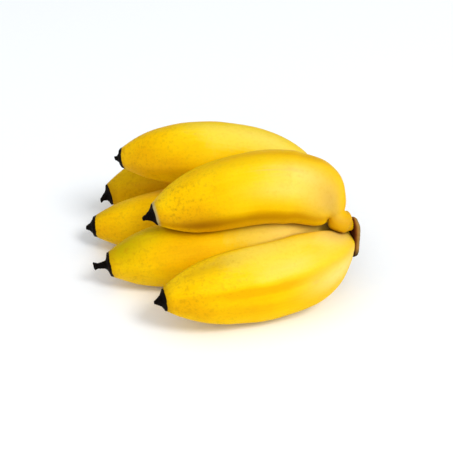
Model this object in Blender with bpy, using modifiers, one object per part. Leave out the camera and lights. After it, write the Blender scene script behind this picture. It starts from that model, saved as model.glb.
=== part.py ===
"""Hand of six apple bananas, lying on a table with its cut crown to the right.

Four fruits lie side by side on the table and two lie on top of them. Their stalks all grow from
one crown, and each fruit ends in a dry, black remnant of its flower. +X points to the crown, +Z
up, and -Y to the side that the photo shows. The origin is on the table, under the hand's middle.
"""

import math

import bmesh
import bpy
import numpy as np
from mathutils import Matrix, Vector

# Sizes in the tables are millimetres, and this turns them into metres.
MM = 0.001

# Where each fruit lies: its middle line from the crown to the flower end, measured from the point
# on the table that the photo is centred on. girth is the radius at the belly. stalk gives the
# neck's length and radius, how much it spreads where it joins the crown, and how far its knuckle
# stands out. shoulder says how slowly the neck widens (-1 to 2), full how blunt the flower end is
# (-1 to 1), ridge is the angle of one of the soft ridges from the top towards the near side, in
# degrees, and dry the flower remnant's length, and where it is between stout (0) and slim (1).
FRUITS = {
    "lower_1": {
        "line": [
            (63.1, -12.8, 24.1), (54.8, -26.5, 26.2), (35.3, -38.6, 21.3),
            (10.5, -46.4, 18.5), (-12.9, -56.2, 20.1), (-29.9, -61.4, 19.6),
        ],
        "girth": 19.2, "stalk": (5, 6.0, 1.0, 0.0), "shoulder": 1.64, "full": -0.39, "ridge": 59, "dry": (4.9, 0.25),
    },
    "lower_2": {
        "line": [
            (60.9, -2, 26), (49, -10.5, 27), (31.9, -15.2, 25.5),
            (5.1, -13.4, 19), (-25.1, -15.3, 17.9), (-60.3, -19.9, 14),
        ],
        "girth": 18.6, "stalk": (11, 5.2, 3.0, 0.0), "shoulder": 0.0, "full": 0.03, "ridge": 10, "dry": (8.0, 1.0),
    },
    "lower_3": {
        "line": [
            (57.1, 10.9, 26), (44, 17, 23), (24, 23.9, 18.5),
            (-5.1, 27.7, 17.8), (-39.9, 22.7, 15.3), (-72.2, 22.1, 12.3),
        ],
        "girth": 17.1, "stalk": (22, 5.2, 3.0, 0.0), "shoulder": 0.2, "full": -0.04, "ridge": 30, "dry": (4.8, 0.2),
    },
    "lower_4": {
        "line": [
            (52, 26, 26), (42, 38, 24), (22, 56.1, 20),
            (-5.1, 62.7, 17), (-38.3, 63.4, 17.4), (-67.2, 55, 14.3),
        ],
        "girth": 17.9, "stalk": (20, 5.2, 3.0, 0.0), "shoulder": 0.2, "full": -0.05, "ridge": 48, "dry": (5.3, 0.35),
    },
    "upper_1": {
        "line": [
            (62.4, -17.6, 36.4), (57, -22.5, 41.2), (52.3, -20, 50), (45.2, -17.8, 54.1),
            (11.7, -15.5, 55.7), (-13.3, -16.6, 49.3), (-35.9, -20.6, 43.9),
        ],
        "girth": 18.7, "stalk": (13.5, 4.5, -1.1, 2.2), "shoulder": -1.0, "full": -0.26, "ridge": 98, "dry": (6.5, 0.15),
    },
    "upper_2": {
        "line": [
            (57.8, 4.2, 31.5), (46, 13.1, 37.8), (30.3, 18.9, 47.2),
            (10.3, 22.8, 53.7), (-19.8, 26.9, 54.7), (-56.3, 34, 48.3),
        ],
        "girth": 17.7, "stalk": (12, 5.0, 2.0, 0.0), "shoulder": 0.25, "full": -0.19, "ridge": 20, "dry": (4.3, 0.25),
    },
}

# The middle of the hand's outline on the table, which the origin is put under.
HAND_MIDDLE = (-4.75, 6.04)

# Girth along the swollen part of a fruit, as a share of the belly radius, from stalk to flower end,
# and what a slow shoulder takes away there and a full end adds.
BODY_AT = (0.0, 0.04, 0.10, 0.18, 0.32, 0.55, 0.70, 0.80, 0.88, 0.95, 1.0)
BODY_GIRTH = (0.30, 0.46, 0.73, 0.92, 1.0, 1.0, 0.945, 0.85, 0.71, 0.51, 0.345)
SLOW_SHOULDER = (0.0, 0.05, 0.11, 0.09, 0.02, 0.0, 0.0, 0.0, 0.0, 0.0, 0.0)
FULL_END = (0.0, 0.0, 0.0, 0.0, 0.0, 0.0, 0.02, 0.06, 0.09, 0.07, 0.12)
SPREAD_REACH = 5.0
KNUCKLE_AT = 8.5
KNUCKLE_REACH = 2.8

# A fruit's section is a circle drawn slightly towards five ridges. RIDGE_DEPTH is from ridge to
# valley, as a share of the radius. The sweep lays the section's first ridge level, on the fruit's far
# side, this many degrees short of the top, and turns the section backwards. TWISTS is how far the
# ridges of a fruit have turned upwards at its stalk, and over what share of its length they do so.
RIDGES = 5
RIDGE_DEPTH = 0.055
RIDGE_SHARE = 0.45
RIDGE_SHARPNESS = 1.5
TWISTS = {"upper_1": 62.0}
TWIST_REACH = 0.36
FIRST_RIDGE = 90.0
SIDES = 20

# Rings along a fruit, and how much closer they are near its ends (0 to 1). A finer, round tube on the
# same line tells where a fruit meets its neighbours.
RINGS = 26
END_CROWDING = 0.6
TUBE_RINGS = 104
LINE_STEPS = 600

# Room left between neighbours where fruits press on each other, and on each side of a joint. The
# place where a point of the peel meets its seam is found by halving, this many times.
PRESS_GAP = 0.3
PRESS_HALVINGS = 24
JOINT_GAP = 0.15

# Points closer than this, in metres, are one point.
SAME_POINT = 5e-6

# The upright plane where the stalks end and the crown begins: a point of it, how far it is turned,
# and the crown's outline in it, as distance along the plane and height above the table.
JOINT_POINT = (57.0, 3.0, 0.0)
JOINT_TURN = math.radians(16.7)
CROWN_OUTLINE = [
    (-27, 29), (-26.6, 35.5), (-23, 40.5), (-17.5, 38.5), (-10, 33.5), (-3, 31.5), (4, 34), (10, 34.5), (16, 33.5),
    (25, 33.5), (32, 31), (34.5, 25.5), (31.5, 19.5), (22, 17.6), (8, 17), (-6, 16.4), (-17, 16.2), (-25.5, 19.4),
]
CROWN_POINTS = 48

# Layers of the crown from the joint to the knife's cut: how deep each is at the near and at the far
# end, and how far its outline is drawn in.
CROWN_LAYERS = [(0.0, 0.0, 0.3), (0.8, 1.6, 0.0), (2.7, 5.6, 0.2), (3.5, 7.4, 1.1), (3.8, 8.0, 2.2)]

# The profile of a stout and of a slim flower remnant, as shares of the fruit's end radius and of its
# own length.
STOUT_REMNANT = [
    (0.0, 0.0), (0.97, 0.0), (0.95, 0.09), (0.76, 0.22), (0.54, 0.38), (0.37, 0.60), (0.25, 0.80), (0.15, 1.0),
    (0.0, 0.98),
]
SLIM_REMNANT = [
    (0.0, 0.0), (0.97, 0.0), (0.92, 0.05), (0.58, 0.14), (0.33, 0.28), (0.25, 0.50), (0.22, 0.75), (0.24, 0.96),
    (0.0, 1.0),
]
DRY_SIDES = 14

PEEL = ("ripe banana peel", (0.86, 0.60, 0.03, 1.0), 0.42)
DRY_FLOWER = ("dry flower remnant", (0.020, 0.014, 0.010, 1.0), 0.8)
DRY_CROWN = ("dried cut crown", (0.17, 0.10, 0.045, 1.0), 0.85)
SHARP_EDGE = math.radians(50)


def clear_scene():
    for old in list(bpy.data.objects):
        bpy.data.objects.remove(old, do_unlink=True)


def collection(name):
    made = bpy.data.collections.new(name)
    bpy.context.scene.collection.children.link(made)
    return made


def material(name, colour, roughness):
    made = bpy.data.materials.new(name)
    made.use_nodes = True
    shader = made.node_tree.nodes["Principled BSDF"]
    shader.inputs["Base Color"].default_value = colour
    shader.inputs["Roughness"].default_value = roughness
    shader.inputs["Metallic"].default_value = 0.0
    made.diffuse_color = colour
    return made


def add_piece(name, mesh, finish, origin, into):
    """Puts a mesh in the hand as a piece of its own, held by the empty at the hand's middle."""
    mesh.shade_smooth()
    mesh.set_sharp_from_angle(angle=SHARP_EDGE)
    mesh.materials.clear()
    mesh.materials.append(finish)
    made = bpy.data.objects.new(name, mesh)
    made.parent = origin
    into.objects.link(made)
    return made


def smooth_line(points, shares):
    """The natural cubic spline through some points: its places at shares of its length, and its length."""
    p = np.array(points, float)
    at = np.concatenate([[0.0], np.cumsum(np.linalg.norm(np.diff(p, axis=0), axis=1))])
    step = np.diff(at)
    last = len(p) - 1
    system = np.zeros((last + 1, last + 1))
    right = np.zeros((last + 1, 3))
    system[0, 0] = system[last, last] = 1.0
    for i in range(1, last):
        system[i, i - 1 : i + 2] = step[i - 1], 2 * (step[i - 1] + step[i]), step[i]
        right[i] = 3 * ((p[i + 1] - p[i]) / step[i] - (p[i] - p[i - 1]) / step[i - 1])
    bend = np.linalg.solve(system, right)

    def at_length(s):
        k = np.clip(np.searchsorted(at, s, side="right") - 1, 0, last - 1)
        t = (s - at[k])[:, None]
        h = step[k][:, None]
        slope = (p[k + 1] - p[k]) / h - h * (2 * bend[k] + bend[k + 1]) / 3
        return p[k] + slope * t + bend[k] * t**2 + (bend[k + 1] - bend[k]) / (3 * h) * t**3

    fine = np.linspace(0, at[-1], LINE_STEPS)
    run = np.concatenate([[0.0], np.cumsum(np.linalg.norm(np.diff(at_length(fine), axis=0), axis=1))])
    return at_length(np.interp(shares * run[-1], run, fine)), run[-1]


def smooth_loop(points, count):
    """Evenly numbered places on the closed curve that passes smoothly through some points."""
    p = np.array(points, float)
    at = np.linspace(0, len(p), count, endpoint=False)
    k = at.astype(int)
    t = (at - k)[:, None]
    a, b, c, d = (p[(k + step) % len(p)] for step in (-1, 0, 1, 2))
    return b + t * (c - a + t * (2 * a - 5 * b + 4 * c - d + t * (3 * (b - c) + d - a))) / 2


def eased(x, xs, ys):
    """The monotone cubic curve through (xs, ys), read at x."""
    xs, ys = np.array(xs, float), np.array(ys, float)
    step = np.diff(xs)
    rise = np.diff(ys) / step
    slope = np.concatenate([[rise[0]], np.zeros(len(xs) - 2), [rise[-1]]])
    for i in range(1, len(xs) - 1):
        if rise[i - 1] * rise[i] > 0:
            a, b = 2 * step[i] + step[i - 1], step[i] + 2 * step[i - 1]
            slope[i] = (a + b) / (a / rise[i - 1] + b / rise[i])
    k = np.clip(np.searchsorted(xs, x, side="right") - 1, 0, len(xs) - 2)
    t = (x - xs[k]) / step[k]
    return (
        ys[k] * (2 * t**3 - 3 * t**2 + 1)
        + slope[k] * step[k] * (t**3 - 2 * t**2 + t)
        + ys[k + 1] * (3 * t**2 - 2 * t**3)
        + slope[k + 1] * step[k] * (t**3 - t**2)
    )


def middle_line(fruit, count):
    """Places along a fruit's middle, its radius at each, and how far along each is, from 0 to 1."""
    even = np.linspace(0, 1, count)
    share = (1 - END_CROWDING) * even + END_CROWDING * (1 - np.cos(math.pi * even)) / 2
    places, length = smooth_line(fruit["line"], share)
    neck_length, neck_radius, spread, knuckle = fruit["stalk"]
    body = np.clip((share * length - neck_length) / (length - neck_length), 0, 1)
    girth = np.array(BODY_GIRTH) - fruit["shoulder"] * np.array(SLOW_SHOULDER)
    girth += fruit["full"] * np.array(FULL_END)
    girth[0] = neck_radius / fruit["girth"]
    at_crown = np.exp(-((share * length / SPREAD_REACH) ** 2))
    at_knuckle = np.exp(-(((share * length - KNUCKLE_AT) / KNUCKLE_REACH) ** 2))
    radii = fruit["girth"] * eased(body, BODY_AT, girth) + spread * at_crown + knuckle * at_knuckle
    return places, radii, share


def ridged_section():
    """The outline across a fruit, of 1 mm radius."""
    data = bpy.data.curves.new("ridged_section", "CURVE")
    data.dimensions = "2D"
    spline = data.splines.new("POLY")
    spline.use_cyclic_u = True
    spline.points.add(SIDES - 1)
    for k, knot in enumerate(spline.points):
        turn = 2 * math.pi * k / SIDES
        valley = abs(math.sin(RIDGES * turn / 2)) ** RIDGE_SHARPNESS
        radius = (1 + RIDGE_DEPTH * (RIDGE_SHARE - valley)) * MM
        knot.co = (radius * math.cos(turn), radius * math.sin(turn), 0, 1)
    made = bpy.data.objects.new("ridged_section", data)
    made.hide_render = True
    made.display_type = "WIRE"
    return made


def swept_fruit(name, fruit, section):
    """A fruit's middle line as a curve, with its girth at each point, swept with the ridged section."""
    places, radii, share = middle_line(fruit, RINGS)
    ridge = fruit["ridge"] - TWISTS.get(name, 0.0) * np.clip(1 - share / TWIST_REACH, 0, 1)
    data = bpy.data.curves.new("fruit_line", "CURVE")
    data.dimensions = "3D"
    data.twist_mode = "Z_UP"
    data.bevel_mode = "OBJECT"
    data.bevel_object = section
    data.use_fill_caps = True
    spline = data.splines.new("POLY")
    spline.points.add(RINGS - 1)
    for knot, place, radius, turned in zip(spline.points, places, radii, ridge):
        knot.co = (*(place * MM), 1)
        knot.radius = radius
        knot.tilt = -math.radians(FIRST_RIDGE + turned)
    line = bpy.data.objects.new("fruit_line", data)
    bpy.context.scene.collection.objects.link(line)
    bpy.context.view_layer.update()
    mesh = bpy.data.meshes.new_from_object(line.evaluated_get(bpy.context.evaluated_depsgraph_get()))
    bpy.data.objects.remove(line)
    shape = bmesh.new()
    shape.from_mesh(mesh)
    bmesh.ops.remove_doubles(shape, verts=shape.verts[:], dist=SAME_POINT)
    bpy.data.meshes.remove(mesh)
    return shape


def clearance(places, line, radii):
    """How far places are outside the round tube along a middle line, and the nearest points of that line."""
    start, along = line[:-1], np.diff(line, axis=0)
    offset = places[:, None] - start[None]
    share = np.clip((offset * along).sum(2) / (along**2).sum(1), 0, 1)
    nearest = start + share[..., None] * along
    reach = np.linalg.norm(places[:, None] - nearest, axis=2) - (radii[:-1] + share * np.diff(radii))
    best = reach.argmin(1)
    rows = np.arange(len(places))
    return reach[rows, best], nearest[rows, best]


def press_against(shape, own, neighbours):
    """Where fruits would run into each other, each is pressed flat on its own side of the seam."""
    places = np.array([v.co for v in shape.verts], float) / MM
    _, core = clearance(places, *own)
    low, high = np.zeros(len(places)), np.ones(len(places))
    share = np.ones(len(places))
    for _ in range(PRESS_HALVINGS):
        tried = core + (places - core) * share[:, None]
        inside, _ = clearance(tried, *own)
        clear = np.ones(len(places), bool)
        for other in neighbours:
            outside, _ = clearance(tried, *other)
            clear &= outside - inside >= PRESS_GAP
        low = np.where(clear, share, low)
        high = np.where(clear, high, share)
        share = np.where(low >= 1.0, 1.0, (low + high) / 2)
    pressed = core + (places - core) * low[:, None]
    for vertex, place in zip(shape.verts, pressed):
        vertex.co = place * MM


def cut_flat(shape, point, outward):
    """Takes away what lies beyond a plane, and closes the shape with one flat face."""
    everything = shape.verts[:] + shape.edges[:] + shape.faces[:]
    cut = bmesh.ops.bisect_plane(
        shape, geom=everything, dist=SAME_POINT, plane_co=point, plane_no=outward, clear_outer=True
    )
    rim = [e for e in cut["geom_cut"] if isinstance(e, bmesh.types.BMEdge) and e.is_boundary]
    if rim:
        bmesh.ops.holes_fill(shape, edges=rim, sides=0)
    bmesh.ops.remove_doubles(shape, verts=shape.verts[:], dist=SAME_POINT)


def finished_mesh(name, shape):
    bmesh.ops.recalc_face_normals(shape, faces=shape.faces[:])
    mesh = bpy.data.meshes.new(name)
    shape.to_mesh(mesh)
    shape.free()
    return mesh


def banana(name, fruit, own, neighbours, section):
    """One fruit with its stalk: pressed against its neighbours, cut at the crown and flat on the table."""
    shape = swept_fruit(name, fruit, section)
    press_against(shape, own, neighbours)
    outward = Matrix.Rotation(JOINT_TURN, 3, "Z") @ Vector((1, 0, 0))
    cut_flat(shape, (Vector(JOINT_POINT) - outward * JOINT_GAP) * MM, outward)
    cut_flat(shape, Vector((0, 0, 0)), Vector((0, 0, -1)))
    return finished_mesh("banana_" + name, shape)


def dry_tip(name, end_radius, length, slim):
    """The profile of a dry flower remnant, from its point down to the peel, around its own Z axis."""
    mesh = bpy.data.meshes.new(name)
    shares = np.array(STOUT_REMNANT) * (1 - slim) + np.array(SLIM_REMNANT) * slim
    profile = [(r * end_radius * MM, 0, h * length * MM) for r, h in reversed(shares.tolist())]
    mesh.from_pydata(profile, [(k, k + 1) for k in range(len(profile) - 1)], [])
    return mesh


def turn_on_axis(piece):
    turned = piece.modifiers.new("turned", "SCREW")
    turned.axis = "Z"
    turned.steps = DRY_SIDES
    turned.render_steps = DRY_SIDES
    turned.use_merge_vertices = True
    turned.merge_threshold = SAME_POINT


def stand_on_end(piece, places):
    """Puts a piece on the flower end of a fruit, pointing on along the fruit's middle line."""
    along = Vector(places[-1] - places[-2]).normalized()
    foot = Vector(places[-1]) + along * 2 * JOINT_GAP
    piece.location = foot * MM
    piece.rotation_mode = "QUATERNION"
    piece.rotation_quaternion = along.to_track_quat("Z", "Y")


def crown(name):
    """The crown, a pad with a flat cut, lofted between outlines that are drawn in towards the cut."""
    outline = smooth_loop(CROWN_OUTLINE, CROWN_POINTS)
    ahead = np.roll(outline, -1, axis=0) - np.roll(outline, 1, axis=0)
    inward = np.stack([ahead[:, 1], -ahead[:, 0]], axis=1) / np.linalg.norm(ahead, axis=1)[:, None]
    far_share = (outline[:, 0] - outline[:, 0].min()) / np.ptp(outline[:, 0])
    shape = bmesh.new()
    rings = []
    for near_depth, far_depth, drawn_in in CROWN_LAYERS:
        places = outline + inward * drawn_in
        depths = near_depth + (far_depth - near_depth) * far_share
        rings.append([shape.verts.new((d * MM, y * MM, z * MM)) for d, (y, z) in zip(depths, places)])
    for lower, upper in zip(rings, rings[1:]):
        for k in range(CROWN_POINTS):
            after = (k + 1) % CROWN_POINTS
            shape.faces.new((lower[k], lower[after], upper[after], upper[k]))
    shape.faces.new(rings[0])
    shape.faces.new(rings[-1])
    return finished_mesh(name, shape)


def main():
    clear_scene()
    hand = collection("apple_banana_hand")
    guides = collection("guides")
    peel, black, brown = material(*PEEL), material(*DRY_FLOWER), material(*DRY_CROWN)
    section = ridged_section()
    guides.objects.link(section)
    origin = bpy.data.objects.new("hand_middle", None)
    origin.location = (-HAND_MIDDLE[0] * MM, -HAND_MIDDLE[1] * MM, 0)
    hand.objects.link(origin)

    tubes = {name: middle_line(fruit, TUBE_RINGS)[:2] for name, fruit in FRUITS.items()}
    for name, fruit in FRUITS.items():
        neighbours = [tube for other, tube in tubes.items() if other != name]
        mesh = banana(name, fruit, tubes[name], neighbours, section)
        add_piece("banana_" + name, mesh, peel, origin, hand)
        places, radii = tubes[name]
        mesh = dry_tip("dry_tip_" + name, radii[-1], *fruit["dry"])
        tip = add_piece("dry_tip_" + name, mesh, black, origin, hand)
        turn_on_axis(tip)
        stand_on_end(tip, places)

    pad = add_piece("crown", crown("crown"), brown, origin, hand)
    outward = Matrix.Rotation(JOINT_TURN, 3, "Z") @ Vector((1, 0, 0))
    pad.location = (Vector(JOINT_POINT) + outward * JOINT_GAP) * MM
    pad.rotation_euler = (0, 0, JOINT_TURN)


main()
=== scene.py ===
"""A hand of six apple bananas, lying on four of them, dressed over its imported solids.

Sizes are millimetres. Places are measured from the point on the table that the photo is centred on,
and HAND_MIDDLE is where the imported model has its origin. +X points to the crown and +Z up.
"""

import math

import bpy
import numpy as np
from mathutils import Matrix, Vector, noise


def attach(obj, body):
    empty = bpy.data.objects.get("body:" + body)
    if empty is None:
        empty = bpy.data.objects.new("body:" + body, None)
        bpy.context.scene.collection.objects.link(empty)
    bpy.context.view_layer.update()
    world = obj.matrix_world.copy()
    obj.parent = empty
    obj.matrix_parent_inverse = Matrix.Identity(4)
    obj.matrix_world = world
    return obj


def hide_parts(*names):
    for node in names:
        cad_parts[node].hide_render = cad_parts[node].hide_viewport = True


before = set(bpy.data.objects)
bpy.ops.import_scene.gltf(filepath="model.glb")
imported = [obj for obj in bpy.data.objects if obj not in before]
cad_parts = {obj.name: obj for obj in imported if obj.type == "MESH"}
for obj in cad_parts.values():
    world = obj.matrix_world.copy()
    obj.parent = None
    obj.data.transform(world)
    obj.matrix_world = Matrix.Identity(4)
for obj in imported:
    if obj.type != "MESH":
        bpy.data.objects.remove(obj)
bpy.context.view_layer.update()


# The crown
# The cushion that all six stalks grow from. It was cut off the bunch with a knife, so its outer face
# is bare pith, dried to grey-brown strands, inside a rim of skin that has shrunk and turned black.

MM = 0.001
HAND_MIDDLE = np.array([-4.75, 6.04, 0.0])
UP = np.array([0.0, 0.0, 1.0])

# The upright plane in which the stalks join the crown.
JOINT_POINT = np.array([57.0, 3.0, 0.0])
JOINT_TURN = math.radians(16.7)
ALONG_JOINT = np.array([-math.sin(JOINT_TURN), math.cos(JOINT_TURN), 0.0])
OUT_OF_JOINT = np.array([math.cos(JOINT_TURN), math.sin(JOINT_TURN), 0.0])

# The crown's outline in that plane, as distance along it and height.
CROWN_OUTLINE = [
    (-27, 29), (-26.6, 35.5), (-23, 40.5), (-17.5, 38.5), (-10, 33.5), (-3, 31.5),
    (4, 34), (10, 34.5), (16, 33.5), (25, 33.5), (32, 31), (34.5, 25.5),
    (31.5, 19.5), (22, 17.6), (8, 17), (-6, 16.4), (-17, 16.2), (-25.5, 19.4),
]
CROWN_POINTS = 224

# From the joint outward: the depth at the near and the far end, and how far the outline is drawn in.
# The rim stands up round the cut, and the pith inside it, in ever smaller rings, is a little sunk.
CROWN_LAYERS = [
    (0.0, 0.0, 1.2), (0.05, 0.1, 0.5), (0.5, 0.9, 0.1), (1.1, 2.0, 0.0), (1.8, 3.6, 0.1), (2.6, 5.4, 0.2),
    (3.2, 6.8, 0.6), (3.6, 7.6, 1.1), (3.75, 7.9, 1.7), (3.6, 7.7, 2.2), (3.2, 7.2, 2.6),
]
PITH_SHARES = np.linspace(0.94, 0.02, 22)
PITH_SUNK = 0.5

# Between these heights the knife's cut slants back, by this share of the depth.
SLANT, SLANT_FROM, SLANT_TO = 0.4, 36.5, 41.0

# The pith's strands: their height and width, how much they are drawn out upward, and over what share
# of the way in from the rim they rise. The skin's wrinkles: the same, but they run outward.
PITH_RELIEF, PITH_LUMP, PITH_DRAWN_OUT, PITH_RISE = 0.55, 1.3, 0.25, 0.125
SKIN_WRINKLE, WRINKLE_LUMP, WRINKLE_DRAWN_OUT = 0.28, 1.6, 0.2

# Strands are about 0.5 mm thick, drawn at 0.9 mm so that they show, and run up the cut.
STRAND, STRAND_DRAWN_OUT, STAIN = 0.9, 0.16, 6.0

# The lowest corner of the skin has gone black, from the first height down to the second.
BLACK_FROM, BLACK_WHOLE = 25.0, 20.0


def srgb(text):
    """A colour written as sRGB hex, in the linear values that Blender wants."""
    parts = [int(text[k : k + 2], 16) / 255 for k in (1, 3, 5)]
    return (*(c / 12.92 if c <= 0.04045 else ((c + 0.055) / 1.055) ** 2.4 for c in parts), 1.0)


def add(finish, kind, settings, links=None, stops=None):
    """One node with its settings and links, and a ramp's stops as pairs of place and colour. A name is
    an input's name or identifier, or a property's, and a link comes from an output, or from a node's
    first live one."""
    made = finish.node_tree.nodes.new("ShaderNode" + kind)
    for name, value in settings.items():
        if hasattr(made, name):
            setattr(made, name, value)
    sockets = {key: socket for socket in reversed(made.inputs) for key in (socket.name, socket.identifier)}
    for name, value in settings.items():
        if not hasattr(made, name):
            sockets[name].default_value = value
    for name, source in (links or {}).items():
        live = source if hasattr(source, "links") else next(o for o in source.outputs if o.enabled)
        finish.node_tree.links.new(live, sockets[name])
    if stops:
        ramp = made.color_ramp.elements
        (ramp[0].position, first), *between, (ramp[1].position, last) = stops
        ramp[0].color, ramp[1].color = srgb(first), srgb(last)
        for at, tint in between:
            ramp.new(at).color = srgb(tint)
    return made


def empty_finish(name):
    """A new material without nodes."""
    finish = bpy.data.materials.new(name)
    finish.use_nodes = True
    finish.node_tree.nodes.clear()
    return finish


def smooth_loop(points, count):
    """Evenly numbered places on the closed curve that passes smoothly through some points."""
    p = np.array(points, float)
    at = np.linspace(0, len(p), count, endpoint=False)
    k = at.astype(int)
    t = (at - k)[:, None]
    a, b, c, d = (p[(k + step) % len(p)] for step in (-1, 0, 1, 2))
    return b + t * (c - a + t * (2 * a - 5 * b + 4 * c - d + t * (3 * (b - c) + d - a))) / 2


def lumps(places, size, seed):
    """Smooth noise between -1 and 1 at some places, in lumps of the given size."""
    shift = Vector((seed * 13.7, seed * 7.1, seed * 3.3))
    return np.array([noise.noise(Vector(place / size) + shift) for place in places])


def finer(grid):
    """A grid of rings made twice as fine, on the smooth surface that it spans."""
    after = np.roll(grid, -1, axis=1)
    around = np.stack([(np.roll(grid, 1, axis=1) + 6 * grid + after) / 8, (grid + after) / 2], axis=2)
    around = around.reshape((len(grid), -1) + grid.shape[2:])
    fine = np.repeat(around, 2, axis=0)[:-1]
    fine[2:-2:2] = (around[:-2] + 6 * around[1:-1] + around[2:]) / 8
    fine[1::2] = (around[:-1] + around[1:]) / 2
    return fine


def skin(name, rings, marks, finish):
    """A closed skin over a row of rings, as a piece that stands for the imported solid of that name."""
    shape = rings.shape[:2]
    rings = finer(rings)
    count, sides = rings.shape[:2]
    k, j = np.meshgrid(np.arange(count - 1), np.arange(sides), indexing="ij")
    after = (j + 1) % sides
    corners = k * sides + j, k * sides + after, (k + 1) * sides + after, (k + 1) * sides + j
    faces = np.stack(corners, axis=-1).reshape(-1, 4).tolist()
    faces.append(list(range(sides))[::-1])
    faces.append(list(range((count - 1) * sides, count * sides)))
    mesh = bpy.data.meshes.new(name + "_skin")
    mesh.from_pydata(((rings.reshape(-1, 3) - HAND_MIDDLE) * MM).tolist(), [], faces)
    mesh.shade_smooth()
    for mark, values in marks.items():
        values = finer(values.reshape(shape + values.shape[1:]))
        vector = values.ndim == 3
        layer = mesh.attributes.new(mark, "FLOAT_VECTOR" if vector else "FLOAT", "POINT")
        layer.data.foreach_set("vector" if vector else "value", values.astype(np.float32).ravel())
    mesh.materials.append(finish)
    made = bpy.data.objects.new(name + "_skin", mesh)
    bpy.context.scene.collection.objects.link(made)
    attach(made, "root")
    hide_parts(name)


def crown_rings():
    """Rings from the joint round the skin, over the rim and in over the pith, with how far in and how
    far out each is."""
    outline = smooth_loop(CROWN_OUTLINE, CROWN_POINTS)
    ahead = np.roll(outline, -1, axis=0) - np.roll(outline, 1, axis=0)
    inward = np.stack([ahead[:, 1], -ahead[:, 0]], axis=1) / np.linalg.norm(ahead, axis=1)[:, None]
    near_end, length = outline[:, 0].min(), np.ptp(outline[:, 0])
    rim_depth = max(near for near, _, _ in CROWN_LAYERS)
    rings, inside, out = [], [], []
    for near, far, drawn_in in CROWN_LAYERS:
        depth = near + (far - near) * (outline[:, 0] - near_end) / length
        rings.append((depth, outline + inward * drawn_in))
        inside.append(0.0)
        out.append(near / rim_depth)
    rim = rings[-1][1]
    middle = rim.mean(axis=0)
    for share in PITH_SHARES:
        flat = middle + (rim - middle) * share
        cut = near + (far - near) * (flat[:, 0] - near_end) / length
        rings.append((cut - PITH_SUNK * (1 - share**4), flat))
        inside.append(1 - share)
        out.append(1.0)
    places = []
    for (depth, flat), within in zip(rings, inside):
        depth = depth * (1 - SLANT * np.clip((flat[:, 1] - SLANT_FROM) / (SLANT_TO - SLANT_FROM), 0, 1))
        rough = lumps(np.column_stack([flat * (1.0, PITH_DRAWN_OUT), depth]), PITH_LUMP, 1)
        depth = depth + PITH_RELIEF * rough * min(1, within / PITH_RISE)
        wrinkle = lumps(np.column_stack([flat, depth * WRINKLE_DRAWN_OUT]), WRINKLE_LUMP, 2) * (within == 0)
        flat = flat + inward * (SKIN_WRINKLE * wrinkle)[:, None] * min(1, depth.max())
        in_plane = flat[:, :1] * ALONG_JOINT + flat[:, 1:] * UP
        places.append(JOINT_POINT + depth[:, None] * OUT_OF_JOINT + in_plane)
    return np.array(places), np.array(inside), np.array(out)


def cut_pith_finish():
    """Cut banana crown, dried: dull, strands of pale pith between tarry brown, and a black skin rim."""
    finish = empty_finish("dried cut crown")
    place = add(finish, "TexCoord", {}).outputs["Object"]
    height = add(finish, "SeparateXYZ", {}, {"Vector": place}).outputs["Z"]
    pith = add(finish, "Attribute", {"attribute_name": "pith"}).outputs["Fac"]
    outward = add(finish, "Attribute", {"attribute_name": "outward"}).outputs["Fac"]
    drawn_out = add(finish, "Mapping", {"Scale": (1.0, 1.0, STRAND_DRAWN_OUT)}, {"Vector": place})
    strand = add(
        finish, "TexNoise", {"Scale": 1 / (STRAND * MM), "Detail": 4.0, "Roughness": 0.6},
        {"Vector": drawn_out},
    )
    strands = add(
        finish, "ValToRGB", {}, {"Fac": strand}, [(0.36, "#2A160D"), (0.52, "#6E4F33"), (0.70, "#A98F6B")]
    )
    blotch = add(
        finish, "TexNoise", {"Scale": 1 / (STAIN * MM), "Detail": 3.0, "Roughness": 0.55}, {"Vector": place}
    )
    stain = add(finish, "ValToRGB", {}, {"Fac": blotch}, [(0.35, "#6B5644"), (0.62, "#FFFFFF")])
    aged = add(
        finish, "Mix", {"data_type": "RGBA", "blend_type": "MULTIPLY", "Factor_Float": 0.8},
        {"A_Color": strands, "B_Color": stain},
    )
    # The skin is dark where the stalks join it, tan in the middle and dull green at the rim.
    skin_tone = add(
        finish, "ValToRGB", {}, {"Fac": outward},
        [(0.0, "#4E2000"), (0.25, "#7C3E04"), (0.45, "#B8802E"), (0.80, "#C8A45C"), (1.0, "#5E4E24")],
    )
    skin_tone = add(
        finish, "Mix", {"data_type": "RGBA", "blend_type": "MULTIPLY", "Factor_Float": 0.5},
        {"A_Color": skin_tone, "B_Color": strands},
    )
    low = add(
        finish, "MapRange", {"From Min": BLACK_FROM * MM, "From Max": BLACK_WHOLE * MM, "To Max": 0.9},
        {"Value": height},
    )
    skin_tone = add(
        finish, "Mix", {"data_type": "RGBA", "B_Color": srgb("#14140A")},
        {"Factor_Float": low, "A_Color": skin_tone},
    )
    cut = add(finish, "MapRange", {"From Max": 0.10}, {"Value": pith})
    colour = add(
        finish, "Mix", {"data_type": "RGBA"}, {"Factor_Float": cut, "A_Color": skin_tone, "B_Color": aged}
    )
    relief = add(finish, "Bump", {"Strength": 0.6, "Distance": 0.0005}, {"Height": strand})
    shader = add(
        finish, "BsdfPrincipled", {"Roughness": 0.8, "IOR": 1.45, "Specular IOR Level": 0.12},
        {"Base Color": colour, "Normal": relief},
    )
    add(finish, "OutputMaterial", {}, {"Surface": shader})
    return finish


rings, inside, out = crown_rings()
crown_marks = {"pith": np.repeat(inside, CROWN_POINTS), "outward": np.repeat(out, CROWN_POINTS)}
skin("crown", rings, crown_marks, cut_pith_finish())


# The six bananas
# Each is one berry in a thick, waxy peel with five soft ridges, on a short stalk that grows into the
# crown. Where the fruits grew against each other or lie on the table, they are pressed flat.

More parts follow.
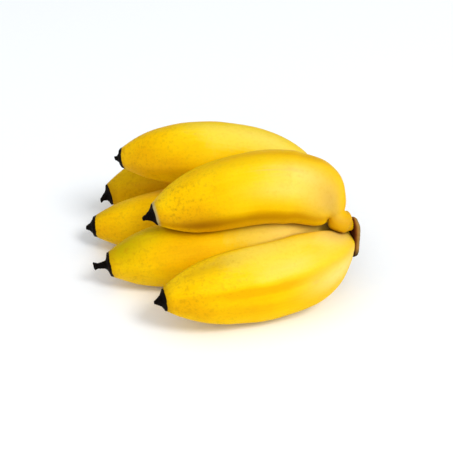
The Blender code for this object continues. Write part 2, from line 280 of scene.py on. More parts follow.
# line is the fruit's middle from the crown to the flower end, and girth the radius at its belly.
# stalk is the neck's length and radius, its spread at the crown and its knuckle just off the crown.
# shoulder says how slowly the neck widens, full how blunt the flower end is, and ridge where one of
# the ridges is, in degrees from the top towards the near side. twist is how much less that is at the
# stalk.
FRUITS = {
    "lower_1": {
        "line": [
            (63.1, -12.8, 24.1), (54.8, -26.5, 26.2), (35.3, -38.6, 21.3),
            (10.5, -46.4, 18.5), (-12.9, -56.2, 20.1), (-29.9, -61.4, 19.6),
        ],
        "girth": 19.2, "stalk": (5, 6.0, 1.0, 0.0), "shoulder": 1.64, "full": -0.39, "ridge": 59,
    },
    "lower_2": {
        "line": [
            (60.9, -2, 26), (49, -10.5, 27), (31.9, -15.2, 25.5),
            (5.1, -13.4, 19), (-25.1, -15.3, 17.9), (-60.3, -19.9, 14),
        ],
        "girth": 18.6, "stalk": (11, 5.2, 3.0, 0.0), "shoulder": 0.0, "full": 0.03, "ridge": 10,
    },
    "lower_3": {
        "line": [
            (57.1, 10.9, 26), (44, 17, 23), (24, 23.9, 18.5),
            (-5.1, 27.7, 17.8), (-39.9, 22.7, 15.3), (-72.2, 22.1, 12.3),
        ],
        "girth": 17.1, "stalk": (22, 5.2, 3.0, 0.0), "shoulder": 0.2, "full": -0.04, "ridge": 30,
    },
    "lower_4": {
        "line": [
            (52, 26, 26), (42, 38, 24), (22, 56.1, 20),
            (-5.1, 62.7, 17), (-38.3, 63.4, 17.4), (-67.2, 55, 14.3),
        ],
        "girth": 17.9, "stalk": (20, 5.2, 3.0, 0.0), "shoulder": 0.2, "full": -0.05, "ridge": 48,
    },
    "upper_1": {
        "line": [
            (62.4, -17.6, 36.4), (57, -22.5, 41.2), (52.3, -20, 50), (45.2, -17.8, 54.1),
            (11.7, -15.5, 55.7), (-13.3, -16.6, 49.3), (-35.9, -20.6, 43.9),
        ],
        "girth": 18.7, "stalk": (13.5, 4.5, -1.1, 2.2), "shoulder": -1.0, "full": -0.26, "ridge": 98,
        "twist": 62,
    },
    "upper_2": {
        "line": [
            (57.8, 4.2, 31.5), (46, 13.1, 37.8), (30.3, 18.9, 47.2),
            (10.3, 22.8, 53.7), (-19.8, 26.9, 54.7), (-56.3, 34, 48.3),
        ],
        "girth": 17.7, "stalk": (12, 5.0, 2.0, 0.0), "shoulder": 0.25, "full": -0.19, "ridge": 20,
    },
}

# Girth along the swollen part, as a share of the belly's, from stalk to flower end, and what a fruit's
# shoulder takes from it and its full adds to it.
BODY_AT = (0.0, 0.04, 0.10, 0.18, 0.32, 0.55, 0.70, 0.80, 0.88, 0.95, 1.0)
BODY_GIRTH = (0.30, 0.46, 0.73, 0.92, 1.0, 1.0, 0.945, 0.85, 0.71, 0.51, 0.345)
SLOW_SHOULDER = (0.0, 0.05, 0.11, 0.09, 0.02, 0.0, 0.0, 0.0, 0.0, 0.0, 0.0)
FULL_END = (0.0, 0.0, 0.0, 0.0, 0.0, 0.0, 0.02, 0.06, 0.09, 0.07, 0.12)

# How far from the crown the spread reaches, and where the knuckle is and how far it reaches.
SPREAD_REACH, KNUCKLE_AT, KNUCKLE_REACH = 5.0, 8.5, 2.8

# The ridges stand out by RIDGE_SHARE of their depth, and the flats between them lie in by the rest.
# A twist dies out over TWIST_REACH of the length.
RIDGES, RIDGE_DEPTH, RIDGE_SHARE, RIDGE_SHARPNESS = 5, 0.055, 0.45, 1.05
TWIST_REACH = 0.36

# A peel has RINGS rings of SIDES places, which are closer at its ends.
SIDES, RINGS, END_CROWDING, LINE_STEPS = 80, 116, 0.6, 600

# The fruits press on each other as round tubes would, with a gap that is found by halving. The
# stalks end just inside the crown.
TUBE_RINGS, PRESS_GAP, PRESS_HALVINGS = 72, 0.2, 14
STALK_IN_CROWN = 0.4

# The front upper fruit's neck bends hard. Between these shares of its length, its rings are eased into
# each other this many times, most of all on its underside.
NECKED_FRUIT, EASE_ROUNDS, EASE_STRENGTH = "upper_1", 30, 0.25
EASE_FROM, EASE_IN, EASE_UNTIL, EASE_OUT = 0.12, 0.04, 0.40, 0.10

# Its body's rings stay upright until close to the neck, between these shares of its length, most of
# all on its underside, which is a little drawn in there.
UPRIGHT_FROM, UPRIGHT_UNTIL, UPRIGHT_RAMP = 0.115, 0.36, 0.05
UPRIGHT_TOP, UNDERSIDE_DRAWN_IN = 0.25, 0.10

# The peel closes over the flower end in a small rounded lip: distance past the end, share of radius.
END_LIP = [(0.25, 0.97), (0.35, 0.90), (0.2, 0.78), (0.0, 0.4), (0.0, 0.02)]

# Slow swells of the peel: their height and length, and how much of the height lies inward.
SWELL, SWELL_SIZE, SWELL_INWARD = 0.35, 14.0, 0.6

# The peel's pattern follows the fruit as though it were straight, this far from the next one's.
PATTERN_APART = 300.0


def smooth_line(points, shares):
    """The natural cubic spline through some points: its places at shares of its length, and its length."""
    p = np.array(points, float)
    at = np.concatenate([[0.0], np.cumsum(np.linalg.norm(np.diff(p, axis=0), axis=1))])
    step = np.diff(at)
    last = len(p) - 1
    system = np.zeros((last + 1, last + 1))
    right = np.zeros((last + 1, 3))
    system[0, 0] = system[last, last] = 1.0
    for i in range(1, last):
        system[i, i - 1 : i + 2] = step[i - 1], 2 * (step[i - 1] + step[i]), step[i]
        right[i] = 3 * ((p[i + 1] - p[i]) / step[i] - (p[i] - p[i - 1]) / step[i - 1])
    bend = np.linalg.solve(system, right)

    def at_length(s):
        k = np.clip(np.searchsorted(at, s, side="right") - 1, 0, last - 1)
        t = (s - at[k])[:, None]
        h = step[k][:, None]
        slope = (p[k + 1] - p[k]) / h - h * (2 * bend[k] + bend[k + 1]) / 3
        return p[k] + slope * t + bend[k] * t**2 + (bend[k + 1] - bend[k]) / (3 * h) * t**3

    fine = np.linspace(0, at[-1], LINE_STEPS)
    run = np.concatenate([[0.0], np.cumsum(np.linalg.norm(np.diff(at_length(fine), axis=0), axis=1))])
    return at_length(np.interp(shares * run[-1], run, fine)), run[-1]


def eased(x, xs, ys):
    """The monotone cubic curve through (xs, ys), read at x."""
    xs, ys = np.array(xs, float), np.array(ys, float)
    step = np.diff(xs)
    rise = np.diff(ys) / step
    slope = np.concatenate([[rise[0]], np.zeros(len(xs) - 2), [rise[-1]]])
    for i in range(1, len(xs) - 1):
        if rise[i - 1] * rise[i] > 0:
            a, b = 2 * step[i] + step[i - 1], step[i] + 2 * step[i - 1]
            slope[i] = (a + b) / (a / rise[i - 1] + b / rise[i])
    k = np.clip(np.searchsorted(xs, x, side="right") - 1, 0, len(xs) - 2)
    t = (x - xs[k]) / step[k]
    return (
        ys[k] * (2 * t**3 - 3 * t**2 + 1)
        + slope[k] * step[k] * (t**3 - 2 * t**2 + t)
        + ys[k + 1] * (3 * t**2 - 2 * t**3)
        + slope[k + 1] * step[k] * (t**3 - t**2)
    )


def middle_line(fruit, count):
    """Places along a fruit's middle, its radius at each, and how far along each is, from 0 to 1."""
    even = np.linspace(0, 1, count)
    share = (1 - END_CROWDING) * even + END_CROWDING * (1 - np.cos(math.pi * even)) / 2
    places, length = smooth_line(fruit["line"], share)
    neck_length, neck_radius, spread, knuckle = fruit["stalk"]
    body = np.clip((share * length - neck_length) / (length - neck_length), 0, 1)
    girth = np.array(BODY_GIRTH) - fruit["shoulder"] * np.array(SLOW_SHOULDER)
    girth += fruit["full"] * np.array(FULL_END)
    girth[0] = neck_radius / fruit["girth"]
    at_crown = np.exp(-((share * length / SPREAD_REACH) ** 2))
    at_knuckle = np.exp(-(((share * length - KNUCKLE_AT) / KNUCKLE_REACH) ** 2))
    radii = fruit["girth"] * eased(body, BODY_AT, girth) + spread * at_crown + knuckle * at_knuckle
    return places, radii, share


def clearance(places, line, radii):
    """How far places are outside the round tube along a middle line, and the nearest points of that line."""
    start, along = line[:-1], np.diff(line, axis=0)
    offset = places[:, None] - start[None]
    share = np.clip((offset * along).sum(2) / (along**2).sum(1), 0, 1)
    nearest = start + share[..., None] * along
    reach = np.linalg.norm(places[:, None] - nearest, axis=2) - (radii[:-1] + share * np.diff(radii))
    best = reach.argmin(1)
    rows = np.arange(len(places))
    return reach[rows, best], nearest[rows, best]


def pressed(places, own, neighbours):
    """Where fruits would run into each other, each is pressed flat on its own side of the seam. Also
    gives how much room there was."""
    _, core = clearance(places, *own)

    def free(tried):
        inside, _ = clearance(tried, *own)
        room = [clearance(tried, *other)[0] - inside for other in neighbours]
        return np.min(room, axis=0)

    room = free(places)
    todo = np.flatnonzero(room < PRESS_GAP)
    low, high = np.zeros(len(todo)), np.ones(len(todo))
    for _ in range(PRESS_HALVINGS):
        middle = (low + high) / 2
        clear = free(core[todo] + (places[todo] - core[todo]) * middle[:, None]) >= PRESS_GAP
        low, high = np.where(clear, middle, low), np.where(clear, high, middle)
    share = np.ones(len(places))
    share[todo] = low
    return core + (places - core) * share[:, None], np.maximum(room, 0)


def outward_across(ahead, turn):
    """The directions out of a middle line at angles from the top towards the near side."""
    ahead = ahead / np.linalg.norm(ahead, axis=1)[:, None]
    top = UP - ahead * ahead[:, 2:]
    top /= np.linalg.norm(top, axis=1)[:, None]
    near = np.cross(top, ahead)
    return top[:, None] * np.cos(turn)[:, None] + near[:, None] * np.sin(turn)[:, None]


def fruit_rings(fruit, own, neighbours, seed):
    """The peel's rings, and the marks on it that its colours follow."""
    places, radii, share = own
    ahead = np.gradient(places, axis=0)
    ahead /= np.linalg.norm(ahead, axis=1)[:, None]
    end = places[-1], radii[-1], ahead[-1]
    places = np.vstack([places] + [end[0] + end[2] * past for past, _ in END_LIP])
    radii = np.concatenate([radii, [end[1] * part for _, part in END_LIP]])
    ahead = np.vstack([ahead] + [end[2]] * len(END_LIP))
    share = np.concatenate([share, np.ones(len(END_LIP))])
    turn = np.linspace(0, 2 * math.pi, SIDES, endpoint=False)
    under = (1 - np.cos(turn)) / 2
    out = outward_across(ahead, turn)
    if fruit is FRUITS[NECKED_FRUIT]:
        held = np.clip((share - UPRIGHT_FROM) / UPRIGHT_RAMP, 0, 1) * (share < UPRIGHT_UNTIL)
        level = ahead + (ahead[np.searchsorted(share, UPRIGHT_UNTIL)] - ahead) * held[:, None]
        upright = outward_across(level, turn) * (1 - UNDERSIDE_DRAWN_IN * held)[:, None, None]
        out += (upright - out) * (UPRIGHT_TOP + (1 - UPRIGHT_TOP) * under)[:, None]
    ridge = fruit["ridge"] - fruit.get("twist", 0) * np.clip(1 - share / TWIST_REACH, 0, 1)
    valley = np.abs(np.sin(RIDGES * (turn - np.radians(ridge)[:, None]) / 2)) ** RIDGE_SHARPNESS
    radius = radii[:, None] * (1 + RIDGE_DEPTH * (RIDGE_SHARE - valley))
    swell = lumps((places[:, None] + out * radius[..., None]).reshape(-1, 3), SWELL_SIZE, seed)
    swell = (swell.reshape(radius.shape) - SWELL_INWARD) * SWELL * radius / fruit["girth"]
    grid = places[:, None] + out * (radius + swell)[..., None]
    if fruit is FRUITS[NECKED_FRUIT]:
        begun = np.clip((share[1:-1] - EASE_FROM) / EASE_IN, 0, 1)
        ease = EASE_STRENGTH * begun * np.clip((EASE_UNTIL - share[1:-1]) / EASE_OUT, 0, 1)
        ease = (ease[:, None] * under)[..., None]
        for _ in range(EASE_ROUNDS):
            grid[1:-1] += ease * (grid[:-2] - 2 * grid[1:-1] + grid[2:])
    peel_places, room = pressed(grid.reshape(-1, 3), own[:2], neighbours)
    peel_places[:, 2] = np.maximum(peel_places[:, 2], 0.0)
    into_crown = (peel_places - JOINT_POINT) @ OUT_OF_JOINT
    peel_places -= np.maximum(into_crown - STALK_IN_CROWN, 0)[:, None] * OUT_OF_JOINT
    run = np.concatenate([[0.0], np.cumsum(np.linalg.norm(np.diff(places, axis=0), axis=1))])
    straight = np.broadcast_arrays(
        radius * np.cos(turn), radius * np.sin(turn), run[:, None] + seed * PATTERN_APART
    )
    marks = {
        "straight": np.stack(straight, axis=-1).reshape(-1, 3) * MM,
        "along": np.repeat(share, SIDES),
        "room": room,
    }
    return peel_places.reshape(len(share), SIDES, 3), marks


# What each peel shows: its tone from gold (0) to lemon (1), how freckled it is, and soft ovals on it,
# as (share along, degrees round, length, width, strength): lemon and gold for tone, where the lemon
# ovals also paint light on places in shade and the gold ones paint shade on undersides and below
# ridges; a pale painted sheen and painted light; rub for worn strokes, tan for worn skin; browned
# peel, which also paints shade along seams and on undersides; painted shade in the crease by the
# crown; and green where it hasn't turned. end is how much of the length has a pale rim or is dried
# black at the flower end.
LOOKS = {
    "lower_1": {
        "tone": 0.50, "freckles": 0.8, "end": (0.0, 0.003),
        # The lemon oval on the top edge paints light. The gold line below the ridge is partly painted shade,
        # and the browned band along the seam is painted shade.
        "lemon_and_light": [(0.48, 30, 0.25, 25, 0.45), (0.45, 52, 0.30, 7, 0.25), (0.52, 4, 0.25, 18, 0.9)],
        "gold_and_shade": [(0.56, 68, 0.30, 7, 0.75), (0.93, 90, 0.14, 40, 0.45), (0.55, 100, 0.35, 16, 0.35)],
        "painted_sheen": [
            (0.16, 12, 0.10, 28, 0.85), (0.23, 88, 0.12, 20, 0.9), (0.42, 42, 0.16, 12, 0.4),
            (0.52, 3, 0.2, 14, 0.2),
        ],
        "rub": [(0.33, 80, 0.03, 7, 0.5)],
        "tan": [(0.16, 12, 0.05, 22, 0.6)],
        "brown_and_shade": [(0.80, 8, 0.16, 16, 0.4)],
    },
    "lower_2": {
        "tone": 0.35, "freckles": 0.7, "end": (0.0, 0.009),
        # The lemon and pale sheen paint light on the strip that lies in shade under the upper fruit, and the
        # dark oval is painted shade in the crease by the crown.
        "lemon_and_light": [(0.30, 42, 0.25, 25, 0.9)],
        "gold_and_shade": [(0.70, 55, 0.15, 30, 0.25)],
        "painted_sheen": [(0.24, 44, 0.12, 22, 0.65)],
        "crease_shade": [(0.09, 30, 0.06, 60, 0.95)],
        "green": [(0.95, 20, 0.10, 50, 0.65), (0.80, 10, 0.14, 26, 0.4)],
    },
    "lower_3": {
        "tone": 0.35, "freckles": 0.7, "end": (0.0, 0.013),
        "gold_and_shade": [(0.95, 80, 0.12, 40, 0.3)],
        "green": [(0.95, 0, 0.12, 24, 0.3)],
    },
    "lower_4": {
        "tone": 0.15, "freckles": 0.8, "end": (0.0, 0.004),
        "green": [(0.90, 30, 0.25, 70, 0.25)],
    },
    "upper_1": {
        "tone": 0.45, "freckles": 1.0, "end": (0.013, 0.0),
        "lemon_and_light": [(0.42, 45, 0.22, 26, 0.3)],
        # The gold and browned ovals near 110 degrees paint shade on the underside below the ridge.
        "gold_and_shade": [
            (0.88, 90, 0.16, 34, 0.5), (0.45, 112, 0.5, 10, 0.5), (0.35, -4, 0.35, 10, 0.35),
            (0.05, 60, 0.06, 120, 0.5),
        ],
        "painted_sheen": [(0.34, 38, 0.10, 16, 0.6), (0.40, 66, 0.12, 14, 0.45), (0.24, 62, 0.10, 30, 0.3)],
        "rub": [(0.46, 38, 0.06, 6, 0.6), (0.37, 34, 0.04, 4, 0.5)],
        "tan": [(0.19, 55, 0.09, 38, 0.95)],
        "brown_and_shade": [(0.82, 106, 0.13, 16, 0.75), (0.50, 114, 0.35, 12, 0.5), (0.06, 80, 0.05, 120, 0.35)],
    },
    "upper_2": {
        "tone": 0.50, "freckles": 0.8, "end": (0.0, 0.016),
        "lemon_and_light": [(0.42, 22, 0.28, 30, 0.9)],
        "gold_and_shade": [(0.90, 70, 0.16, 90, 0.5), (0.75, 95, 0.2, 20, 0.35)],
        "painted_sheen": [(0.38, 20, 0.16, 16, 0.35)],
    },
}
OVALS = ("lemon_and_light", "gold_and_shade", "painted_sheen", "rub", "tan", "brown_and_shade", "crease_shade", "green")

# The last part of a peel, next to the flower's remnant, is browner.
END_DULL, END_DULL_FROM = 0.6, 0.955

# Freckles are few on the body and more from FRECKLES_FROM on, over a share of the length.
FRECKLES_BODY, FRECKLES_MORE, FRECKLES_FROM, FRECKLES_OVER = 0.15, 0.5, 0.6, 0.3

# How fast the pale rim and the black end begin, as shares of the length.
RIM_STRENGTH, RIM_RAMP, CHAR_RAMP = 0.8, 0.008, 0.004

# Painted shade darkens the peel within this distance of a seam between fruits.
SEAM_SHADE, SEAM_SHADE_REACH = 0.5, 1.2

# Clouds of tone, mottling, and streaks along the fruit, 1.5 mm wide and 30 mm long, with how much of
# the tone each moves. Freckles of 0.4 mm are drawn 0.7 mm across, from noise of 1.1 mm, and pores of
# 0.5 mm at 0.9 mm, so that they show.
CLOUD, MOTTLE, STREAK, STREAK_DRAWN_OUT = 14.0, 2.4, 1.5, 0.05
CLOUD_SHARE, MOTTLE_SHARE, STREAK_SHARE = 0.55, 0.42, 0.30
FRECKLE, PORE = 1.1, 0.9


def ripe_peel_finish():
    """Ripe banana peel: yellow from gold to lemon with brown freckles, a soft waxy sheen that is partly
    painted, and painted light and shade.
    """
    finish = empty_finish("ripe banana peel")
    place = add(finish, "Attribute", {"attribute_name": "straight"}).outputs["Vector"]
    read = {
        mark: add(finish, "Attribute", {"attribute_name": mark}).outputs["Fac"]
        for mark in ("tone", *OVALS[2:], "freckles", "rim", "seam_shade", "char")
    }
    drawn_out = add(finish, "Mapping", {"Scale": (1.0, 1.0, STREAK_DRAWN_OUT)}, {"Vector": place})
    cloud = add(finish, "TexNoise", {"Scale": 1 / (CLOUD * MM), "Detail": 1.0}, {"Vector": place})
    mottle = add(
        finish, "TexNoise", {"Scale": 1 / (MOTTLE * MM), "Detail": 2.0, "Roughness": 0.6}, {"Vector": place}
    )
    streak = add(finish, "TexNoise", {"Scale": 1 / (STREAK * MM), "Detail": 1.0}, {"Vector": drawn_out})
    spot = add(finish, "TexNoise", {"Scale": 1 / (FRECKLE * MM), "Detail": 0.0}, {"Vector": place})
    pore = add(finish, "TexNoise", {"Scale": 1 / (PORE * MM), "Detail": 1.0}, {"Vector": place})
    level = read["tone"]
    for source, share in ((cloud, CLOUD_SHARE), (mottle, MOTTLE_SHARE), (streak, STREAK_SHARE)):
        level = add(
            finish, "Math", {"operation": "MULTIPLY_ADD", "Value_001": share},
            {"Value": source, "Value_002": level},
        )
    even = (CLOUD_SHARE + MOTTLE_SHARE + STREAK_SHARE) / 2
    level = add(finish, "MapRange", {"From Min": even, "From Max": even + 1}, {"Value": level})
    colour = add(
        finish, "ValToRGB", {}, {"Fac": level},
        [(0.0, "#DEA600"), (0.35, "#E9B900"), (0.68, "#EBC40E"), (1.0, "#EBCE3C")],
    )

    # A pale painted sheen, and painted light on places in shade, lie on the peel. Where the wax is rubbed
    # off, the corky tan layer shows in strokes along the fruit. The flower end is mottled brown, browned
    # peel also stands for shade, and painted shade darkens the seams where the fruits press and the
    # crease by the crown.
    stroke = add(finish, "MapRange", {"From Min": 0.40, "From Max": 0.62}, {"Value": streak})
    rubbed = add(finish, "Math", {"operation": "MULTIPLY"}, {"Value": read["rub"], "Value_001": stroke})
    worn = add(finish, "MapRange", {"From Min": 0.50, "From Max": 0.72}, {"Value": mottle})
    mottled = add(finish, "Math", {"operation": "MULTIPLY"}, {"Value": read["freckles"], "Value_001": worn})
    dot = add(finish, "MapRange", {"From Min": 0.58, "From Max": 0.82, "To Max": 0.42}, {"Value": spot})
    freckled = add(finish, "Math", {"operation": "MULTIPLY"}, {"Value": read["freckles"], "Value_001": dot})
    ragged = add(
        finish, "Math", {"operation": "MULTIPLY_ADD", "Value_001": 1.2},
        {"Value": mottle, "Value_002": read["char"]},
    )
    charred = add(finish, "MapRange", {"From Min": 0.95, "From Max": 1.15}, {"Value": ragged})
    layers = [
        (read["painted_sheen"], "#EFD072"),
        (read["tan"], "#CDA444"),
        (rubbed, "#D0AC5C"),
        (read["green"], "#A29400"),
        (read["brown_and_shade"], "#A06C04"),
        (mottled, "#B98208"),
        (freckled, "#946404"),
        (read["seam_shade"], "#7A4A04"),
        (read["crease_shade"], "#2A1204"),
        (read["rim"], "#A09C78"),
        (charred, "#0C0806"),
    ]
    for factor, tint in layers:
        colour = add(
            finish, "Mix", {"data_type": "RGBA", "B_Color": srgb(tint)},
            {"Factor_Float": factor, "A_Color": colour},
        )
    fine = add(finish, "Bump", {"Strength": 0.3, "Distance": 0.0001}, {"Height": pore})
    rough = add(
        finish, "MapRange", {"From Min": 0.3, "From Max": 0.7, "To Min": 0.40, "To Max": 0.52},
        {"Value": mottle},
    )
    # The wax is thin and matt, and light goes a little way into the peel, red furthest.
    shader = add(
        finish, "BsdfPrincipled",
        {
            "IOR": 1.45, "Specular IOR Level": 0.04, "Subsurface Weight": 0.25,
            "Subsurface Radius": (1.0, 0.7, 0.2), "Subsurface Scale": 0.003,
        },
        {"Base Color": colour, "Roughness": rough, "Normal": fine},
    )
    add(finish, "OutputMaterial", {}, {"Surface": shader})
    return finish


def ovals(ring_count, along, spots):
    """How strongly some soft ovals mark each place of a peel."""
    turn = np.tile(np.linspace(0, 360, SIDES, endpoint=False), ring_count)
    total = np.zeros(len(along))
    for at, around, length, width, strength in spots:
        off = (turn - around + 180) % 360 - 180
        total = total + strength * np.exp(-(((along - at) / length) ** 2) - (off / width) ** 2)
    return total


peel = ripe_peel_finish()
tubes = {name: middle_line(fruit, TUBE_RINGS)[:2] for name, fruit in FRUITS.items()}
ends = {}
for seed, (name, fruit) in enumerate(FRUITS.items(), 1):
    neighbours = [tube for other, tube in tubes.items() if other != name]
    own = middle_line(fruit, RINGS)
    rings, marks = fruit_rings(fruit, own, neighbours, seed)
    looks = LOOKS[name]
    along = marks["along"]
    spread = {kind: ovals(len(rings), along, looks.get(kind, ())) for kind in OVALS}
    # The tone carries painted light from the lemon ovals and painted shade from the gold ones.
    marks["tone"] = looks["tone"] + spread.pop("lemon_and_light") - spread.pop("gold_and_shade")
    marks |= {kind: np.clip(amount, 0, 1) for kind, amount in spread.items()}
    browner = np.clip((along - END_DULL_FROM) / (1 - END_DULL_FROM), 0, 1) ** 2
    marks["brown_and_shade"] = np.clip(marks["brown_and_shade"] + END_DULL * browner, 0, 1)
    thicker = np.clip((along - FRECKLES_FROM) / FRECKLES_OVER, 0, 1)
    marks["freckles"] = looks["freckles"] * (FRECKLES_BODY + FRECKLES_MORE * thicker)
    rim, char = looks["end"]
    marks["rim"] = np.clip((along - 1 + rim) / RIM_RAMP, 0, 1) * RIM_STRENGTH * (rim > 0)
    marks["char"] = np.clip((along - 1 + char) / CHAR_RAMP, 0, 1) * (char > 0)
    # Painted shade in the seams, where the fruits press on each other.
    marks["seam_shade"] = np.clip(1 - marks.pop("room") / SEAM_SHADE_REACH, 0, 1) * SEAM_SHADE
    skin("banana_" + name, rings, marks, peel)
    ends[name] = (own[0][-1], own[0][-1] - own[0][-2], own[1][-1])


# The dry flower ends
# The remnant of each flower, shrivelled hard and black on the fruit's free end. It covers the end in
# a thin cap, with a ragged nub that is all that is left of the style.

# length, how far the nub leans up as a share of it, where it is between a stout cone (0) and a slim
# stem (1), and how deep the fork in its end is.
REMNANTS = {
    "lower_1": {"length": 5.2, "lean": -0.10, "slim": 0.2, "fork": 0.0},
    "lower_2": {"length": 8.4, "lean": 0.10, "slim": 1.0, "fork": 0.35},
    "lower_3": {"length": 5.0, "lean": -0.12, "slim": 0.2, "fork": 0.0},
    "lower_4": {"length": 5.6, "lean": -0.45, "slim": 0.5, "fork": 0.0},
    "upper_1": {"length": 6.8, "lean": -0.10, "slim": 0.2, "fork": 0.0},
    "upper_2": {"length": 4.6, "lean": 0.05, "slim": 0.25, "fork": 0.15},
}

# The cap's and nub's profile, as shares of the length and of the fruit's end radius.
STOUT = [
    (-0.06, 0.60), (-0.05, 0.92), (0.02, 0.98), (0.09, 0.95), (0.15, 0.87), (0.22, 0.76), (0.31, 0.64),
    (0.42, 0.50), (0.54, 0.39), (0.66, 0.31), (0.78, 0.24), (0.90, 0.18), (0.97, 0.13), (1.0, 0.07),
    (1.0, 0.01),
]
SLIM = [
    (-0.04, 0.60), (-0.03, 0.92), (0.01, 1.00), (0.05, 0.94), (0.09, 0.78), (0.14, 0.56), (0.21, 0.38),
    (0.31, 0.30), (0.44, 0.25), (0.58, 0.22), (0.72, 0.20), (0.85, 0.23), (0.95, 0.25), (1.0, 0.16),
    (1.0, 0.01),
]
REMNANT_SIDES = 56
RINGS_A_STEP = 3

# The folds along the nub: how many, how fast their place differs from fruit to fruit, and depth.
REMNANT_FOLDS = [(5, 1, 0.13), (9, 2, 0.065)]

# The fork starts at this share of the nub. Its prongs stand apart by a share of the radius, and the
# notch between them is as deep as a share of the length.
FORK_FROM, FORK_APART, FORK_NOTCH = 0.7, 0.25, 0.35

# The crumbled surface: the size of its lumps, their seed and height. It rises from a least share at
# the cap's edge, and fades within a core round the middle line.
REMNANT_CRUMBLE = [(1.1, 20, 0.35), (0.5, 30, 0.175)]
CRUMBLE_RISE, CRUMBLE_LEAST, CRUMBLE_CORE = 3, 0.15, 0.4

# Shreds about 0.7 mm across, and browner patches.
SHRED, BROWN_PATCH = 0.7, 3.0


def remnant_rings(remnant, end, seed):
    """Rings of a flower remnant on the end of a fruit, and how far up the nub each is."""
    foot, ahead, radius = end
    ahead = ahead / np.linalg.norm(ahead)
    turn = np.linspace(0, 2 * math.pi, REMNANT_SIDES, endpoint=False)
    out = outward_across(ahead[None], turn)[0]
    top = out[0]
    profile = np.array(STOUT) + (np.array(SLIM) - np.array(STOUT)) * remnant["slim"]
    fine = np.linspace(0, len(profile) - 1, RINGS_A_STEP * (len(profile) - 1) + 1)
    high, wide = (np.interp(fine, np.arange(len(profile)), side) for side in profile.T)
    rings = []
    for h, w in zip(high, wide):
        up_nub = np.clip(h, 0, 1)
        folds = sum(depth * np.sin(many * turn + shift * seed) for many, shift, depth in REMNANT_FOLDS)
        off = out * (radius * w * (1 + up_nub * folds))[:, None]
        lean = top * remnant["lean"] * remnant["length"] * up_nub**2
        split = remnant["fork"] * np.clip((up_nub - FORK_FROM) / (1 - FORK_FROM), 0, 1)
        apart = top * (split * radius * FORK_APART * np.sign(np.cos(turn)))[:, None]
        along = remnant["length"] * (h - split * FORK_NOTCH * (1 - np.abs(np.cos(turn))))
        rings.append(foot + ahead * along[:, None] + off + lean + apart)
    flat = np.array(rings).reshape(-1, 3)
    crumble = sum(height * lumps(flat, size, seed + shift) for size, shift, height in REMNANT_CRUMBLE)
    crumble *= np.repeat(np.clip(high * CRUMBLE_RISE, CRUMBLE_LEAST, 1), REMNANT_SIDES)
    outward = flat - (foot + ahead * ((flat - foot) @ ahead)[:, None])
    outward /= np.maximum(np.linalg.norm(outward, axis=1), CRUMBLE_CORE)[:, None]
    marks = {"nub": np.repeat(np.clip(high, 0, 1), REMNANT_SIDES)}
    return (flat + outward * crumble[:, None]).reshape(len(high), REMNANT_SIDES, 3), marks


def dry_flower_finish():
    """Dried flower remnant: charcoal black and brittle, browner at its foot, with a faint dry gloss."""
    finish = empty_finish("dry banana flower")
    place = add(finish, "TexCoord", {}).outputs["Object"]
    nub = add(finish, "Attribute", {"attribute_name": "nub"}).outputs["Fac"]
    shred = add(
        finish, "TexNoise", {"Scale": 1 / (SHRED * MM), "Detail": 2.0, "Roughness": 0.7}, {"Vector": place}
    )
    patchy = add(finish, "TexNoise", {"Scale": 1 / (BROWN_PATCH * MM), "Detail": 2.0}, {"Vector": place})
    tone = add(finish, "ValToRGB", {}, {"Fac": shred}, [(0.40, "#050302"), (0.75, "#160F0B")])
    foot = add(
        finish, "Math", {"operation": "MULTIPLY_ADD", "Value_001": -2.2}, {"Value": nub, "Value_002": patchy}
    )
    brown = add(finish, "MapRange", {"From Min": 0.30, "From Max": 0.62}, {"Value": foot})
    colour = add(
        finish, "Mix", {"data_type": "RGBA", "B_Color": srgb("#2A170D")},
        {"Factor_Float": brown, "A_Color": tone},
    )
    relief = add(finish, "Bump", {"Strength": 0.8, "Distance": 0.0004}, {"Height": shred})
    shader = add(
        finish, "BsdfPrincipled", {"Roughness": 0.7, "IOR": 1.5, "Specular IOR Level": 0.03},
        {"Base Color": colour, "Normal": relief},
    )
    add(finish, "OutputMaterial", {}, {"Surface": shader})
    return finish


black = dry_flower_finish()
for seed, (name, remnant) in enumerate(REMNANTS.items(), 1):
    rings, marks = remnant_rings(remnant, ends[name], seed)
    skin("dry_tip_" + name, rings, marks, black)


# The table and the light
# A plain sweep of white paper, a large soft lamp from the front right with a fainter one from the
# front left, and an even white room, which is darker behind.

FLOOR_SIZE = 6000.0
LAMPS = {
    "key": {"at": (1500, -1700, 2400), "size": 1200, "watts": 57.0},
    "front_fill": {"at": (-300, -2800, 1500), "size": 1600, "watts": 14.0},
}
LAMP_AIM = (0, 0, 20)
LAMP_TINT = (1.0, 0.985, 0.955)

# The room's light in front and behind, which blend between these two bearings.
FRONT_LIGHT, BACK_LIGHT = "#FBFDFF", "#C4C4C2"
FRONT_ENDS, BACK_BEGINS = -0.3, 0.8
ROOM_LIGHT = 0.84

# The paper's tooth is far too fine to show, and is drawn at 4 mm.
PAPER_TOOTH = 4.0


def paper_finish():
    """Matt white paper, which scatters the light evenly."""
    finish = empty_finish("matt white paper")
    place = add(finish, "TexCoord", {}).outputs["Object"]
    tooth = add(finish, "TexNoise", {"Scale": 1 / (PAPER_TOOTH * MM), "Detail": 3.0}, {"Vector": place})
    tone = add(finish, "ValToRGB", {}, {"Fac": tooth}, [(0.0, "#F6FAFF"), (1.0, "#F9FCFF")])
    matt = {"Roughness": 0.9, "Specular IOR Level": 0.1}
    shader = add(finish, "BsdfPrincipled", matt, {"Base Color": tone})
    add(finish, "OutputMaterial", {}, {"Surface": shader})
    return finish


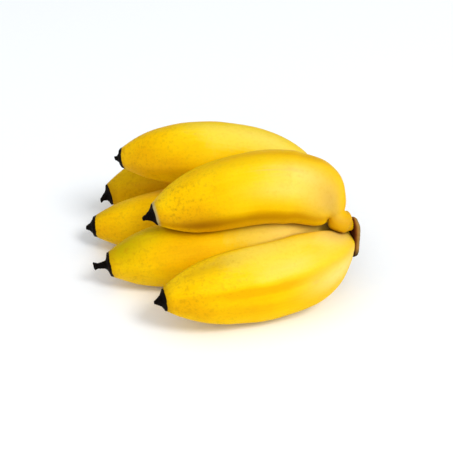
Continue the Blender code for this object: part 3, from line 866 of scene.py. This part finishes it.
sweep = bpy.data.meshes.new("table")
half = FLOOR_SIZE * MM / 2
floor_corners = [(-half, -half, 0), (half, -half, 0), (half, half, 0), (-half, half, 0)]
sweep.from_pydata(floor_corners, [], [(0, 1, 2, 3)])
sweep.materials.append(paper_finish())
table = bpy.data.objects.new("table", sweep)
bpy.context.scene.collection.objects.link(table)

room = bpy.data.worlds.new("white_room")
room.use_nodes = True
room.node_tree.nodes.clear()
bearing = add(room, "SeparateXYZ", {}, {"Vector": add(room, "TexCoord", {}).outputs["Generated"]})
backward = add(
    room, "MapRange", {"From Min": FRONT_ENDS, "From Max": BACK_BEGINS}, {"Value": bearing.outputs["Y"]}
)
walls = add(room, "ValToRGB", {}, {"Fac": backward}, [(0.0, FRONT_LIGHT), (1.0, BACK_LIGHT)])
glow = add(room, "Background", {"Strength": ROOM_LIGHT}, {"Color": walls})
add(room, "OutputWorld", {}, {"Surface": glow})
bpy.context.scene.world = room

for name, lamp in LAMPS.items():
    light = bpy.data.lights.new(name, "AREA")
    light.shape = "DISK"
    light.size = lamp["size"] * MM
    light.energy = lamp["watts"]
    light.color = LAMP_TINT
    softbox = bpy.data.objects.new(name, light)
    softbox.location = Vector(lamp["at"]) * MM
    softbox.rotation_euler = (Vector(LAMP_AIM) - Vector(lamp["at"])).to_track_quat("-Z", "Y").to_euler()
    bpy.context.scene.collection.objects.link(softbox)
bpy.context.scene.view_settings.view_transform = "Standard"


# The camera
# The photo looks along +Y from 30 degrees above, from 600 mm away. Its lens is given as the focal
# length in the photo's own pixels.

CAMERA_ELEVATION = math.radians(30.0)
CAMERA_DISTANCE = 600.0
CAMERA_AIM = np.array([0.0, 0.0, 25.0])
FOCAL_PIXELS, PHOTO_PIXELS, SENSOR = 1140.0, 453.0, 36.0

camera = bpy.data.cameras.new("camera")
camera.sensor_width = SENSOR
camera.lens = SENSOR * FOCAL_PIXELS / PHOTO_PIXELS
camera_object = bpy.data.objects.new("camera", camera)
back = Vector((0.0, -math.cos(CAMERA_ELEVATION), math.sin(CAMERA_ELEVATION)))
camera_object.location = Vector((CAMERA_AIM - HAND_MIDDLE) * MM) + back * CAMERA_DISTANCE * MM
camera_object.rotation_euler = (-back).to_track_quat("-Z", "Y").to_euler()
bpy.context.scene.collection.objects.link(camera_object)
bpy.context.scene.camera = camera_object
